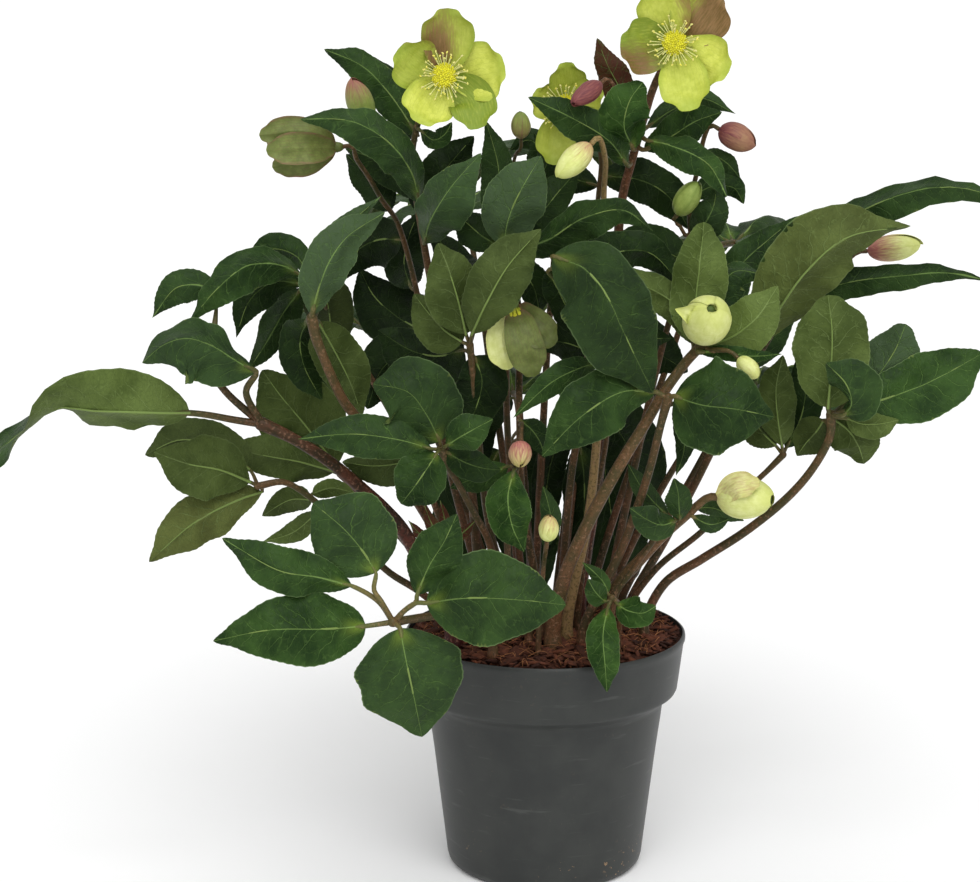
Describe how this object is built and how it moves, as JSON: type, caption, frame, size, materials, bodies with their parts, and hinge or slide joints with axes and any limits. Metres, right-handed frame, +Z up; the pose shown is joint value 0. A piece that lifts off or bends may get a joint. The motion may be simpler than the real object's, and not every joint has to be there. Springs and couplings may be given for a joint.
{
  "type": "potted hellebore",
  "caption": "Hellebore plant with divided evergreen leaves, lime-green open flowers and buds, growing in a round grey nursery pot that rests on its flat base.",
  "frame": {"origin": "centre of the pot's flat base, on the ground", "axes": "+Z up along the pot's axis; -Y towards the viewer's side, where the flowers face; +X to the viewer's right"},
  "size_m": [0.6947, 0.449, 0.5926],
  "materials": {
    "leaf_green": "satin, smooth upper side, paler dull underside",
    "stem_brown": "satin, speckled red-brown",
    "sepal_lime": "soft matte, with mauve-brown patches",
    "stamen_yellow": "matte",
    "bud_cream": "soft matte",
    "bud_pink": "soft matte",
    "pot_grey": "satin moulded plastic",
    "soil_brown": "rough bark and coir"
  },
  "bodies": {
    "root": {"bud_beside_opening": "bud_cream", "bud_centre_low": "bud_cream", "bud_cream": "bud_cream", "bud_far_right": "bud_cream", "bud_green": "bud_cream", "bud_half_open": "bud_cream", "bud_left": "bud_cream", "bud_low_middle": "bud_cream", "bud_low_right": "bud_cream", "bud_opening": "bud_cream", "bud_pink_right": "bud_pink", "bud_pink_top": "bud_pink", "flower_drooping": "sepal_lime", "flower_hidden": "sepal_lime", "flower_hidden_centre": "stamen_yellow", "flower_left": "sepal_lime", "flower_left_centre": "stamen_yellow", "flower_nodding": "sepal_lime", "flower_right": "sepal_lime", "flower_right_centre": "stamen_yellow", "leaf_back_left": "leaf_green", "leaf_back_low": "leaf_green", "leaf_back_low_right": "leaf_green", "leaf_back_mid_left": "leaf_green", "leaf_back_mid_right": "leaf_green", "leaf_back_right": "leaf_green", "leaf_back_top": "leaf_green", "leaf_base_sprout": "leaf_green", "leaf_behind_fork": "leaf_green", "leaf_blue_left": "leaf_green", "leaf_centre": "leaf_green", "leaf_centre_left": "leaf_green", "leaf_dark_right": "leaf_green", "leaf_far_left": "leaf_green", "leaf_front_low": "leaf_green", "leaf_long_right": "leaf_green", "leaf_low_left": "leaf_green", "leaf_low_middle": "leaf_green", "leaf_low_right": "leaf_green", "leaf_middle_left": "leaf_green", "leaf_narrow": "leaf_green", "leaf_oval_right": "leaf_green", "leaf_slim_right": "leaf_green", "leaf_upper_left": "leaf_green", "leaf_upper_middle": "leaf_green", "pot": "pot_grey", "soil": "soil_brown", "stem_bud_centre": "leaf_green", "stem_bud_far_right": "leaf_green", "stem_bud_low_right": "leaf_green", "stem_bud_right": "leaf_green", "stem_buds_right": "leaf_green", "stem_flower_back": "leaf_green", "stem_flower_left": "leaf_green", "stem_flower_right": "leaf_green", "stem_nodding_flower": "leaf_green", "stem_small_bud": "leaf_green", "stem_tan": "stem_brown", "young_shoot": "leaf_green", "young_shoot_pink": "leaf_green"}
  },
  "joints": []
}
